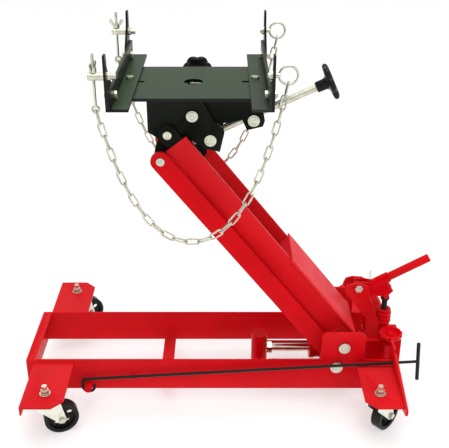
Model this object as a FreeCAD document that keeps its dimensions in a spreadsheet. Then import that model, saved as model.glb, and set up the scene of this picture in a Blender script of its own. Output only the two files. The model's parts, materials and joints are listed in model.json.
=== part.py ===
"""Low-position transmission jack: a parametric FreeCAD model in millimetres.

X runs along the jack, with the saddle end at -X and the pump end at +X. Y runs
across it and Z is up. The origin lies on the floor under the middle of the jack.
The lift arm is drawn part-way up, and the saddle is level.
"""
import FreeCAD, Part
import math
import os
import re
import Sketcher
from FreeCAD import Placement, Rotation, Vector

SIZES = {
    # whole jack
    "shift_x": -8.8,
    # chassis rails, with the raised lug that carries the arm shaft
    "rail_front": -473, "rail_rear": 402, "rail_outer": 107, "rail_thick": 6,
    "rail_bottom": 36, "rail_height": 84,
    "lug_front": 232, "lug_rear": 336, "lug_top": 198, "lug_corner": 9,
    # cross members
    "cross_thick": 6, "front_flange": 22, "crossbar_x": -145, "crossbar_width": 30,
    "wing_reach": 284, "wing_top": 160, "wing_tip_top": 114, "wing_tip_bottom": 98,
    "wing_bottom": 54, "pump_gap": 78, "gap_floor": 57, "slot_half": 6, "slot_floor": 113,
    "tray_front": 346, "tray_z": 52,
    # caster plates
    "plate_top": 112, "plate_thick": 6, "plate_reach": 271, "plate_chamfer": 25,
    "front_plate_x": -460, "front_plate_length": 96, "lip_depth": 24, "lip_thick": 4,
    "rear_plate_x": 318,
    # casters
    "caster_front_x": -410, "caster_rear_x": 356, "caster_y": 222,
    "wheel_radius": 40, "wheel_width": 24, "trail": 30, "fork_gap": 28, "fork_thick": 3,
    "stem_radius": 6, "axle_radius": 5, "fork_top": 103, "hub_radius": 12,
    # stud nuts
    "nut_radius": 10, "nut_thick": 9, "washer_radius": 13, "washer_thick": 2,
    # arm shaft and the lower pins of the level links
    "shaft_x": 286.5, "shaft_z": 158, "shaft_radius": 14, "shaft_reach": 114,
    "link_dx": 16, "link_dz": 56, "link_pin_radius": 9, "pin_head_radius": 15,
    "pin_head_thick": 7, "stub_inner": 63,
    # lift arm, in its own frame: length runs from the shaft to the head pin
    "arm_dx": 409.5, "arm_dz": 519, "arm_half": 60, "arm_plate": 6, "arm_top": 29,
    "arm_bottom": 58, "arm_gap_head": 27, "arm_shallow": 27, "arm_slope_from": 480,
    "arm_slope_to": 560, "boss_radius": 40, "web_from": 255, "web_to": 478, "web_thick": 5,
    "cover_half": 68, "cover_thick": 5, "cover_from": -8, "cover_to": 250,
    "sleeve_radius": 23, "tongue_thick": 5, "tongue_length": 100, "tongue_radius": 20,
    "horn_length": 75, "horn_radius": 12, "horn_outer": 34, "horn_thick": 6,
    "horn_pin_radius": 8, "horn_pin_inner": 27, "horn_pin_outer": 47, "horn_middle": 30,
    # level links
    "bar_thick": 8, "bar_inner": 66, "bar_radius": 22,
    # ram
    "ram_z": 83, "ram_radius": 11, "cylinder_radius": 25, "cylinder_front": 214,
    "cylinder_rear": 350, "crosshead_x": 88, "crosshead_radius": 20,
    "crosshead_low": 46, "crosshead_height": 80,
    "ram_nut_radius": 16, "ram_nut_length": 12, "ram_rear": 300, "bore_rear": 384,
    "pull_bar_inner": 38, "pull_bar_thick": 6, "pull_bar_height": 14, "pull_bar_low": 59,
    "cross_pin_radius": 8,
    "slot_width": 19.4, "slot_low": 73, "slot_high": 107, "yoke_half": 21, "yoke_margin": 8,
    "spring_z": 64, "spring_y": 30, "spring_radius": 5, "spring_end": 344,
    # pump
    "block_rear": 440, "block_half": 36, "block_bottom": 58, "block_top": 128,
    "barrel_x": 396, "barrel_radius": 17, "barrel_top": 200, "plunger_radius": 7,
    "plunger_top": 234, "ear_outer": 19.5, "ear_thick": 5, "pivot_x": 325.7, "pivot_z": 269,
    "pivot_radius": 5, "ear_round": 13, "socket_radius": 13, "tube_radius": 10,
    "tube_bore": 7.5, "handle_x": 400, "handle_z": 291, "handle_angle": 30.2,
    "socket_length": 62, "tube_length": 116, "foot_x": 396, "foot_z": 243,
    "foot_radius": 7, "knob_x": 408, "knob_y": -46.5, "knob_z": 146, "knob_radius": 29.5,
    "knob_thick": 15, "valve_half": 14, "valve_reach": 60, "valve_top": 126,
    "valve_stem": 6,
    # head base, relative to the head pin
    "head_pin_radius": 9.5, "head_pin_reach": 63, "cheek_outer": 46, "cheek_thick": 6,
    "cheek_left": 43, "cheek_top": 70, "pivot_dx": 53.5, "pivot_dz": 39,
    "nut_dx": 92.4, "nut_dz": -18, "trunnion_radius": 13, "ear_right": 121,
    "ear_low": 44, "ear_chamfer": 10,
    # tilt bracket and its screw
    "bracket_outer": 38, "bracket_thick": 5, "bracket_top": 86, "collar_dx": 186.4,
    "collar_dz": 25.2, "roll_pin_z": 76, "roll_pin_radius": 8,
    "wall_left": -38, "wall_right": 130, "wall_thick": 6, "wall_bottom": 60,
    "screw_radius": 8, "screw_back": 44, "screw_reach": 278, "screw_hole": 9.6,
    "wheel_hub_radius": 12, "wheel_hub_length": 26, "star_radius": 35, "star_thick": 15,
    "side_star_radius": 29,
    # side tilt: two cross pins and a screw, seen along X
    "roll_x": 59, "roll_half": 15, "roll_nut_y": 80, "roll_nut_z": 33, "roll_collar_y": 122,
    "roll_collar_z": 54, "roll_pin_cross": 9, "roll_lug_thick": 5, "roll_screw_radius": 5.5,
    "roll_screw_hole": 7, "roll_screw_reach": 66,
    # saddle, relative to the head pin
    "saddle_low": 94, "saddle_thick": 7, "saddle_left": -98, "saddle_right": 209,
    "saddle_half": 119, "saddle_hole": 20, "slot_radius": 5.5, "left_slot_x": -70,
    "right_slot_x": 180, "left_bolt_x": -80, "right_bolt_x": 189, "slot_travel": 15,
    "rail_flange": 39, "angle_thick": 6, "angle_height": 40, "angle_half": 206,
    "left_angle_x": -62, "right_angle_x": 176, "finger_thick": 5, "finger_top": 211,
    "finger_foot": 72, "finger_tip": 17, "finger_step": 24,
    "bolt_head_radius": 9, "bolt_head_thick": 6, "bolt_radius": 5, "finger_bolt_y": 152,
    "finger_bolt_z": 119,
    # chain gear
    "chain_y": 185, "sleeve_z": 166, "sleeve_outer": 8, "sleeve_length": 33,
    "hook_radius": 3, "hook_length": 104, "hook_above": 44, "wing_turn": 75,
    "ring_radius": 18, "ring_wire": 2.5, "ring_z": 168, "ring_offset": 26,
    "chain_wire": 1.9, "chain_pitch": 26.5, "chain_half": 5.8, "chain_drop": 290,
    "chain_left": -128, "chain_right": 246, "chain_top": 96.9, "chain_right_top": 153.6,
    "chain_slack": 0.4,
    # tow rod
    "tow_y": -121, "tow_radius": 3.5, "peg_x": -330, "peg_z": 55, "peg_radius": 9,
    "peg_reach": 137, "hook_bend": 14.5, "tow_bend": 12, "tow_rise": 19, "tow_rear": 462,
    "tow_rear_z": 127, "tee_half": 52, "clip_x": -223, "clip_z": 70,
}

DOC = FreeCAD.newDocument("transmission_jack")
SHEET = DOC.addObject("Spreadsheet::Sheet", "sizes")
for row, (alias, number) in enumerate(SIZES.items(), 1):
    SHEET.set(f"A{row}", alias)
    SHEET.set(f"B{row}", str(number))
    SHEET.setAlias(f"B{row}", alias)
DOC.recompute()

PARTS = []
X_AXIS, Y_AXIS, Z_AXIS = Vector(1, 0, 0), Vector(0, 1, 0), Vector(0, 0, 1)
TURN = {
    "X": Rotation(Y_AXIS, 90),
    "Y": Rotation(X_AXIS, -90),
    "Z": Rotation(),
}
SIDES = (-1, 1)


# ---- helpers ---------------------------------------------------------------

def named(text):
    """Writes an expression of sheet names so that the document can read it."""
    return re.sub(r"[a-z_]+[a-z_0-9]*", sheet_name, str(text))


def sheet_name(word):
    name = word.group()
    return "sizes." + name if name in SIZES else name


def value(text):
    """The number that an expression of sheet names stands for."""
    return float(SHEET.evalExpression(str(text)))


def place(thing, x="0", y="0", z="0", turn=None):
    for axis, text in zip("xyz", (x, y, z)):
        thing.setExpression("Placement.Base." + axis, named(text))
    if turn is not None:
        thing.Placement.Rotation = turn
    return thing


def box(name, size, corner):
    thing = DOC.addObject("Part::Box", name)
    for side, text in zip(("Length", "Width", "Height"), size):
        thing.setExpression(side, named(text))
    return place(thing, *corner)


def rod(name, radius, length, start, axis="Y", turn=None):
    thing = DOC.addObject("Part::Cylinder", name)
    thing.setExpression("Radius", named(radius))
    thing.setExpression("Height", named(length))
    return place(thing, *start, turn or TURN[axis])


def nut(name, radius, thick, start, axis="Y"):
    thing = DOC.addObject("Part::Prism", name)
    thing.Polygon = 6
    thing.setExpression("Circumradius", named(radius))
    thing.setExpression("Height", named(thick))
    return place(thing, *start, TURN[axis])


def cut(name, base, tools):
    thing = DOC.addObject("Part::Cut", name)
    thing.Base, thing.Tool = base, fuse(name + "_tools", tools)
    return thing


def fuse(name, shapes):
    if len(shapes) == 1:
        return shapes[0]
    thing = DOC.addObject("Part::MultiFuse", name)
    thing.Shapes = shapes
    thing.Refine = True
    return thing


def group(name, shapes):
    thing = DOC.addObject("Part::Compound", name)
    thing.Links = shapes
    return thing


def profile(name, plane, corners, thick, holes=()):
    """A flat plate: a closed outline with round holes, padded both ways from its plane."""
    body = DOC.addObject("PartDesign::Body", name)
    base = next(f for f in body.Origin.OriginFeatures if f.Role == plane)
    sketch = body.newObject("Sketcher::SketchObject", name + "_sketch")
    sketch.AttachmentSupport = [(base, "")]
    sketch.MapMode = "FlatFace"
    count = len(corners)
    spots = [Vector(value(x), value(y), 0) for x, y in corners]
    for index in range(count):
        edge = Part.LineSegment(spots[index], spots[(index + 1) % count])
        sketch.addGeometry(edge, False)
    for index in range(count):
        join = Sketcher.Constraint("Coincident", index, 2, (index + 1) % count, 1)
        sketch.addConstraint(join)
    for index, corner in enumerate(corners):
        pin_point(sketch, index, 1, corner)
    for index, (x, y, radius) in enumerate(holes, count):
        ring = Part.Circle(Vector(value(x), value(y), 0), Z_AXIS, value(radius))
        sketch.addGeometry(ring, False)
        pin_point(sketch, index, 3, (x, y))
        size = sketch.addConstraint(Sketcher.Constraint("Radius", index, value(radius)))
        sketch.setExpression(f"Constraints[{size}]", named(radius))
    pad = body.newObject("PartDesign::Pad", name + "_pad")
    pad.Profile = sketch
    pad.Midplane = True
    pad.setExpression("Length", named(thick))
    return body


def pin_point(sketch, edge, end, spot):
    for kind, text in zip(("DistanceX", "DistanceY"), spot):
        rule = Sketcher.Constraint(kind, -1, 1, edge, end, value(text))
        index = sketch.addConstraint(rule)
        sketch.setExpression(f"Constraints[{index}]", named(text))


def bar(name, length, radius, thick, middle_y, holes):
    """A flat bar along X with round ends, and round holes (x, radius) on its middle line."""
    low = f"{middle_y} - {thick} / 2"
    strip = box(name + "_strip", (length, thick, f"2 * {radius}"), ("0", low, f"-{radius}"))
    ends = [rod(name + "_end", radius, thick, (x, low, "0")) for x in ("0", length)]
    whole = fuse(name + "_whole", [strip] + ends)
    tools = [rod(name + "_hole", r, f"{thick} + 2", (x, low + " - 1", "0")) for x, r in holes]
    return cut(name, whole, tools)


def star_wheel(name, radius):
    """A six-lobed hand wheel along X that starts at the local origin, its hub towards -X."""
    disc = rod(name + "_disc", f"{radius} - 3", "star_thick", ("0", "0", "0"), "X")
    hub = rod(name + "_hub", "wheel_hub_radius", "wheel_hub_length + 1",
              ("-wheel_hub_length", "0", "0"), "X")
    lobes = []
    for step in range(6):
        y = f"0.9 * {radius} * cos({60 * step})"
        z = f"0.9 * {radius} * sin({60 * step})"
        lobes.append(rod(name + "_lobe", f"0.3 * {radius}", "star_thick", ("0", y, z), "X"))
    return fuse(name, [disc, hub] + lobes)


def part(label, thing, x="0", y="0", z="0", turn=None):
    """Names a finished sub-part, puts it in its place on the jack and lists it for export."""
    thing.Label = label
    place(thing, x + " + shift_x", y, z, turn)
    PARTS.append(thing)


ARM_LENGTH = math.hypot(SIZES["arm_dx"], SIZES["arm_dz"])
ARM_RUN = Vector(-SIZES["arm_dx"], 0, SIZES["arm_dz"]) / ARM_LENGTH
ARM_UP = Vector(SIZES["arm_dz"], 0, SIZES["arm_dx"]) / ARM_LENGTH
ARM_TURN = Rotation(ARM_RUN, -Y_AXIS, ARM_UP, "XYZ")
ARM = "sqrt(arm_dx ^ 2 + arm_dz ^ 2)"
SHAFT = ("shaft_x", "0", "shaft_z")
HEAD = ("shaft_x - arm_dx", "0", "shaft_z + arm_dz")


def on_arm(label, thing):
    part(label, thing, *SHAFT, ARM_TURN)


def on_head(label, thing):
    part(label, thing, *HEAD)


# ---- chassis ---------------------------------------------------------------

def side_rails():
    top = "rail_bottom + rail_height"
    for side, hand in zip(SIDES, ("left", "right")):
        outline = [
            ("rail_front", "rail_bottom"), ("rail_rear", "rail_bottom"), ("rail_rear", top),
            ("lug_rear", top), ("lug_rear", "lug_top - lug_corner"),
            ("lug_rear - lug_corner", "lug_top"), ("lug_front + lug_corner", "lug_top"),
            ("lug_front", "lug_top - lug_corner"), ("lug_front", top), ("rail_front", top)]
        holes = [("shaft_x", "shaft_z", "shaft_radius + 0.05"),
                 ("shaft_x - link_dx", "shaft_z - link_dz", "link_pin_radius + 0.05")]
        plate = profile(f"rail_{hand}", "XZ_Plane", outline, "rail_thick", holes)
        place(plate, y=f"{side} * (rail_outer - rail_thick / 2)")
        pieces = [plate] + (tow_rod_seats() if side < 0 else [])
        part(f"side_rail_{hand}", group(f"rail_{hand}_set", pieces))


def tow_rod_seats():
    """The peg that the tow rod hooks round, and the ledge that it rests on."""
    peg = rod("peg", "peg_radius", "peg_reach - rail_outer", ("peg_x", "-peg_reach", "peg_z"))
    ledge = box("rod_rest", ("12", "13", "5"), ("clip_x - 6", "-rail_outer - 13", "clip_z"))
    return [peg, ledge]


def cross_members():
    inner = "rail_outer - rail_thick"
    face = box("front_face", ("cross_thick", "2 * rail_outer", "rail_height"),
               ("rail_front - cross_thick", "-rail_outer", "rail_bottom"))
    ledge = box("front_ledge", ("front_flange - cross_thick", f"2 * ({inner})", "cross_thick"),
                ("rail_front", f"-({inner})", "rail_bottom + rail_height - cross_thick"))
    front = fuse("front_angle", [face, ledge])
    middle = box("crossbar", ("crossbar_width", f"2 * ({inner})", "cross_thick"),
                 ("crossbar_x - crossbar_width / 2", f"-({inner})", "rail_bottom"))
    tray = box("pump_tray", ("rail_rear - tray_front", f"2 * ({inner})", "cross_thick"),
               ("tray_front", f"-({inner})", "tray_z"))
    half = [("0", "wing_bottom"), ("rail_outer", "wing_bottom"), ("wing_reach", "wing_tip_bottom"),
            ("wing_reach", "wing_tip_top"), ("rail_outer", "wing_top"), ("pump_gap", "wing_top"),
            ("pump_gap", "gap_floor"), ("0", "gap_floor")]
    mirrored = [(f"-({y})", z) for y, z in reversed(half[1:-1])]
    wing = profile("rear_wing", "YZ_Plane", half[:-1] + [("-pump_gap", "gap_floor")]
                   + mirrored[1:], "cross_thick")
    place(wing, x="rail_rear + cross_thick / 2")
    notch = box("tow_notch", ("3 * cross_thick", "2 * slot_half", "wing_top - slot_floor"),
                ("rail_rear - cross_thick", "tow_y - slot_half", "slot_floor"))
    rear = cut("rear_plate", wing, [notch])
    part("cross_members", group("cross_member_set", [front, middle, tray, rear]))


def caster_plates():
    plates = []
    for side in SIDES:
        spots = (("front", "front_plate_x", "front_plate_x + front_plate_length", True),
                 ("rear", "rail_rear", "rear_plate_x", False))
        for end, outer_x, inner_x, lipped in spots:
            toward = "plate_chamfer" if end == "rear" else "-plate_chamfer"
            outline = [(outer_x, f"{side} * rail_outer"), (outer_x, f"{side} * plate_reach"),
                       (f"{inner_x} + {toward}", f"{side} * plate_reach"),
                       (inner_x, f"{side} * (plate_reach - plate_chamfer)"),
                       (inner_x, f"{side} * rail_outer")]
            stud = (f"caster_{end}_x", f"{side} * caster_y", "stem_radius + 0.05")
            plate = profile(f"{end}_plate", "XY_Plane", outline, "plate_thick", [stud])
            place(plate, z="plate_top - plate_thick / 2")
            if lipped:
                low_y = "-plate_reach" if side < 0 else "rail_outer"
                lip = box("lip", ("lip_thick", "plate_reach - rail_outer", "lip_depth"),
                          (outer_x, low_y, "plate_top - lip_depth"))
                plate = fuse("front_plate_lipped", [plate, lip])
            plates.append(plate)
    part("caster_plates", group("caster_plate_set", plates))


CASTERS = (("front_left", "caster_front_x", -1, 20), ("front_right", "caster_front_x", 1, 35),
           ("rear_left", "caster_rear_x", -1, 45), ("rear_right", "caster_rear_x", 1, 35))


def casters():
    for corner, x, side, swing in CASTERS:
        y = f"{side} * caster_y"
        turn = Rotation(Z_AXIS, swing)
        part(f"caster_fork_{corner}", fork(), x, y, "0", turn)
        part(f"caster_wheel_{corner}", wheel(), x, y, "0", turn)


def fork():
    """Crown, two tapered legs, stem and axle, about the swivel axis with the trail along X."""
    crown = rod("crown", "trail", "fork_thick + 1", ("0", "0", "fork_top - fork_thick - 1"), "Z")
    race = rod("race", "trail * 0.7", "plate_top - plate_thick - fork_top - 0.3",
               ("0", "0", "fork_top"), "Z")
    stem = rod("stem", "stem_radius", "plate_top - fork_top + 22", ("0", "0", "fork_top"), "Z")
    legs = []
    for side in SIDES:
        outline = [("-trail * 0.8", "fork_top"), ("trail * 0.9", "fork_top"),
                   ("trail + axle_radius * 2", "wheel_radius"),
                   ("trail + axle_radius", "wheel_radius - axle_radius * 2"),
                   ("trail - axle_radius", "wheel_radius - axle_radius * 2"),
                   ("-trail * 0.8", "fork_top - 22")]
        leg = profile("leg", "XZ_Plane", outline, "fork_thick")
        legs.append(place(leg, y=f"{side} * (fork_gap + fork_thick) / 2"))
    frame = fuse("fork_frame", [crown, race, stem] + legs)
    axle = rod("axle", "axle_radius", "fork_gap + 2 * fork_thick + 6",
               ("trail", "-fork_gap / 2 - fork_thick - 3", "wheel_radius"))
    return fuse("fork", [frame, axle])


def wheel():
    """Tyre, web with five round windows and hub, bored for the axle."""
    low = "-wheel_width / 2"
    disc = rod("tread", "wheel_radius", "wheel_width", ("trail", low, "wheel_radius"))
    face_depth = "wheel_width / 2 - 4"
    tools = [rod("bore", "axle_radius + 0.06", "2 * wheel_width",
                 ("trail", "-wheel_width", "wheel_radius"))]
    dish = [rod("dish", "wheel_radius - 9", face_depth, ("trail", start, "wheel_radius"))
            for start in (low, "4")]
    for step in range(5):
        spot = (f"trail + 21 * cos({72 * step + 20})", low,
                f"wheel_radius + 21 * sin({72 * step + 20})")
        tools.append(rod("window", "6.5", "wheel_width", spot))
    rim = cut("rim", disc, dish + tools[1:])
    hub = rod("hub", "hub_radius", "wheel_width + 2", ("trail", low + " - 1", "wheel_radius"))
    return cut("wheel", fuse("wheel_solid", [rim, hub]), tools[:1])


def chassis_fasteners():
    pieces = []
    for corner, x, side, swing in CASTERS:
        y = f"{side} * caster_y"
        washer = cut("washer", rod("washer_disc", "washer_radius", "washer_thick",
                                   (x, y, "plate_top"), "Z"),
                     [rod("washer_hole", "stem_radius + 0.05", "3 * washer_thick",
                          (x, y, "plate_top - washer_thick"), "Z")])
        solid = nut("stud_nut", "nut_radius", "nut_thick", (x, y, "plate_top + washer_thick"), "Z")
        hole = rod("nut_hole", "stem_radius + 0.05", "3 * nut_thick", (x, y, "plate_top"), "Z")
        pieces += [washer, cut("bored_nut", solid, [hole])]
    bolt = rod("handle_bolt", "pivot_radius", "2 * ear_outer + 10",
               ("pivot_x", "-ear_outer - 5", "pivot_z"))
    heads = [nut("bolt_end", "nut_radius", "5", ("pivot_x", y, "pivot_z"))
             for y in ("-ear_outer - 5", "ear_outer")]
    pieces.append(fuse("handle_bolt_set", [bolt] + heads))
    part("chassis_fasteners", group("fastener_set", pieces))


def chassis_pins():
    """The lift arm's shaft and the two headed pins of the level links."""
    shaft = rod("shaft", "shaft_radius", "2 * shaft_reach",
                ("shaft_x", "-shaft_reach", "shaft_z"))
    pins = [shaft]
    for side in SIDES:
        spot = ("shaft_x - link_dx", "shaft_z - link_dz")
        inner = "-rail_outer - 1" if side < 0 else "stub_inner"
        pin = rod("pin", "link_pin_radius", "rail_outer + 1 - stub_inner",
                  (spot[0], inner, spot[1]))
        head_y = "-rail_outer - pin_head_thick" if side < 0 else "rail_outer"
        head = rod("pin_head", "pin_head_radius", "pin_head_thick", (spot[0], head_y, spot[1]))
        pins.append(fuse("link_pin", [pin, head]))
    part("chassis_pins", group("chassis_pin_set", pins))


# ---- lift arm and level links ----------------------------------------------

def lift_arm():
    end = f"{ARM} - arm_gap_head"
    outline = [("-boss_radius * 0.5", "-boss_radius * 0.85"), ("40", "-arm_bottom"),
               ("arm_slope_from", "-arm_bottom"), ("arm_slope_to", "-arm_shallow"),
               (end, "-arm_shallow"), (end, "arm_top"), ("-boss_radius * 0.5", "arm_top"),
               ("-boss_radius", "10"), ("-boss_radius", "-10")]
    for side, hand in zip(SIDES, ("left", "right")):
        hole = [("0", "0", "sleeve_radius + 0.05")]
        plate = profile(f"arm_{hand}", "XZ_Plane", outline, "arm_plate", hole)
        part(f"arm_side_plate_{hand}", plate, "shaft_x",
             f"{side} * (arm_half - arm_plate / 2)", "shaft_z", ARM_TURN)
    inside = "2 * (arm_half - arm_plate)"
    web = box("web", ("web_to - web_from", inside, "web_thick"),
              ("web_from", "-arm_half + arm_plate", "-arm_bottom"))
    on_arm("arm_web", web_with_ribs(web, inside))
    cover = box("cover", ("cover_to - cover_from", "2 * cover_half", "cover_thick"),
                ("cover_from", "-cover_half", "arm_top"))
    brow = box("cover_end", ("cover_thick", inside, "24"),
               ("cover_to - cover_thick", "-arm_half + arm_plate", "arm_top - 24"))
    on_arm("arm_cover", fuse("arm_cover_solid", [cover, brow]))
    on_arm("arm_base_sleeve", base_sleeve())
    tongues = []
    for side in SIDES:
        middle = f"{side} * (arm_half - arm_plate - tongue_thick / 2)"
        tongue = bar("tongue", "tongue_length", "tongue_radius", "tongue_thick", middle,
                     [("tongue_length", "head_pin_radius + 0.05")])
        tongues.append(place(tongue, x=f"{ARM} - tongue_length"))
    on_arm("arm_tongues", group("tongue_set", tongues))


def web_with_ribs(web, inside):
    """The arm's floor and the rib that closes its lower end."""
    rib = box("web_rib", ("web_thick", inside, "arm_bottom - 8"),
              ("web_from", "-arm_half + arm_plate", "-arm_bottom"))
    return fuse("arm_floor", [web, rib])


def base_sleeve():
    """The bushed sleeve round the shaft, with the two horns that the ram pulls."""
    tube = rod("sleeve", "sleeve_radius", "2 * arm_half", ("0", "-arm_half", "0"))
    lean = 90 + SIZES["horn_middle"]
    reach_u = f"horn_length * cos({lean})"
    reach_n = f"-horn_length * sin({lean})"
    horns = []
    for side in SIDES:
        middle = f"{side} * (horn_outer - horn_thick / 2)"
        shank = bar("horn", "horn_length", "horn_radius", "horn_thick", middle, [("0", "2")])
        horns.append(place(shank, turn=Rotation(Y_AXIS, lean)))
        low = "-horn_pin_outer" if side < 0 else "horn_pin_inner"
        horns.append(rod("horn_pin", "horn_pin_radius", "horn_pin_outer - horn_pin_inner",
                         (reach_u, low, reach_n)))
    bore = rod("sleeve_bore", "shaft_radius + 0.05", "3 * arm_half", ("0", "-1.5 * arm_half", "0"))
    return cut("base_sleeve", fuse("sleeve_solid", [tube] + horns), [bore])


def level_links():
    for side, hand in zip(SIDES, ("left", "right")):
        link = bar(f"link_{hand}", ARM, "bar_radius", "bar_thick", "0",
                   [("0", "link_pin_radius + 0.05"), (ARM, "head_pin_radius + 0.05")])
        part(f"level_link_{hand}", link, "shaft_x - link_dx",
             f"{side} * (bar_inner + bar_thick / 2)", "shaft_z - link_dz", ARM_TURN)


# ---- ram -------------------------------------------------------------------

def ram():
    tube = rod("cylinder", "cylinder_radius", "cylinder_rear - cylinder_front",
               ("cylinder_front", "0", "ram_z"), "X")
    gland = rod("gland", "cylinder_radius + 2", "12", ("cylinder_front", "0", "ram_z"), "X")
    flange = box("ram_flange", ("6", "2 * block_half", "50"),
                 ("cylinder_rear - 6", "-block_half", "block_bottom"))
    bore = rod("ram_bore", "ram_radius + 0.05", "cylinder_rear",
               ("cylinder_front - 1", "0", "ram_z"), "X")
    part("ram_cylinder", cut("ram_tube", fuse("ram_solid", [tube, gland, flange]), [bore]))
    shaft = rod("rod", "ram_radius", "ram_rear - crosshead_x", ("crosshead_x", "0", "ram_z"), "X")
    lock = nut("rod_nut", "ram_nut_radius", "ram_nut_length",
               ("crosshead_x + crosshead_radius", "0", "ram_z"), "X")
    socket = rod("rod_socket", "crosshead_radius", "crosshead_height",
                 ("crosshead_x", "0", "crosshead_low"), "Z")
    part("ram_rod", cut("ram_rod_solid", fuse("rod_and_nut", [shaft, lock]), [socket]))
    part("crosshead", crosshead())
    part("return_springs", group("spring_set", [
        rod("spring", "spring_radius", "spring_end - crosshead_x - cross_pin_radius",
            ("crosshead_x + cross_pin_radius", f"{side} * spring_y", "spring_z"), "X")
        for side in SIDES]))


def crosshead():
    """The upright round block on the rod, its cross pin, and the slotted pull bars."""
    block = rod("block", "crosshead_radius", "crosshead_height",
                ("crosshead_x", "0", "crosshead_low"), "Z")
    pin = rod("cross_pin", "cross_pin_radius", "2 * (pull_bar_inner + pull_bar_thick + 4)",
              ("crosshead_x", "-pull_bar_inner - pull_bar_thick - 4", "spring_z"))
    arms = []
    slot_x = "shaft_x - horn_length * sin(atan(arm_dz / arm_dx) - horn_middle * 1 deg)"
    for side in SIDES:
        low = "-pull_bar_inner - pull_bar_thick" if side < 0 else "pull_bar_inner"
        strip = box("strip", (f"{slot_x} - crosshead_x + 16", "pull_bar_thick",
                              "pull_bar_height"),
                    ("crosshead_x - 16", low, "pull_bar_low"))
        yoke = box("yoke", ("2 * yoke_half", "pull_bar_thick",
                            "slot_high - slot_low + 2 * yoke_margin"),
                   (f"{slot_x} - yoke_half", low, "slot_low - yoke_margin"))
        slot = box("yoke_slot", ("slot_width", "3 * pull_bar_thick", "slot_high - slot_low"),
                   (f"{slot_x} - slot_width / 2", low + " - pull_bar_thick", "slot_low"))
        arms.append(cut("pull_bar", fuse("pull_bar_solid", [strip, yoke]), [slot]))
    return fuse("crosshead_solid", [block, pin] + arms)


# ---- pump and handle -------------------------------------------------------

def pump():
    body = box("pump_body", ("block_rear - cylinder_rear", "2 * block_half",
                             "block_top - block_bottom"),
               ("cylinder_rear", "-block_half", "block_bottom"))
    barrel = rod("barrel", "barrel_radius", "barrel_top - block_top + 1",
                 ("barrel_x", "0", "block_top - 1"), "Z")
    rings = [rod("rib", "barrel_radius + 2", "5", ("barrel_x", "0", f"block_top + {offset}"), "Z")
             for offset in (37, 48, 59)]
    valve = box("valve_boss", ("2 * valve_half", "valve_reach", "valve_top - block_top + 36"),
                ("knob_x - valve_half", "-valve_reach", "block_top - 36"))
    ways = [rod("plunger_way", "plunger_radius + 0.05", "barrel_top - block_bottom - 12",
                ("barrel_x", "0", "block_bottom + 14"), "Z"),
            rod("rod_way", "ram_radius + 0.3", "bore_rear - cylinder_rear + 1",
                ("cylinder_rear - 1", "0", "ram_z"), "X"),
            rod("valve_way", "valve_stem + 0.05", "40", ("knob_x", "knob_y", "valve_top - 20"),
                "Z")]
    body = fuse("pump_solid", [body, barrel, valve] + rings)
    part("pump_block", cut("pump_casting", body, ways))
    part("pump_plunger", fuse("plunger", [
        rod("plunger_rod", "plunger_radius", "plunger_top - block_top",
            ("barrel_x", "0", "block_top"), "Z"),
        rod("plunger_cap", "plunger_radius + 4", "6", ("barrel_x", "0", "plunger_top - 6"), "Z")]))
    rim = rod("knob_rim", "knob_radius", "knob_thick", ("knob_x", "knob_y", "knob_z"), "Z")
    dish = rod("knob_dish", "knob_radius - 6", "knob_thick", ("knob_x", "knob_y", "knob_z + 7"),
               "Z")
    grips = [rod("grip", "3", "knob_thick", (f"knob_x + knob_radius * cos({30 * step})",
                                            f"knob_y + knob_radius * sin({30 * step})",
                                            "knob_z"), "Z") for step in range(12)]
    knob = cut("knob_head", rim, [dish] + grips)
    stem = rod("knob_stem", "valve_stem", "knob_z - valve_top + 18",
               ("knob_x", "knob_y", "valve_top - 16"), "Z")
    part("release_knob", fuse("knob", [knob, stem]))


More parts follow.
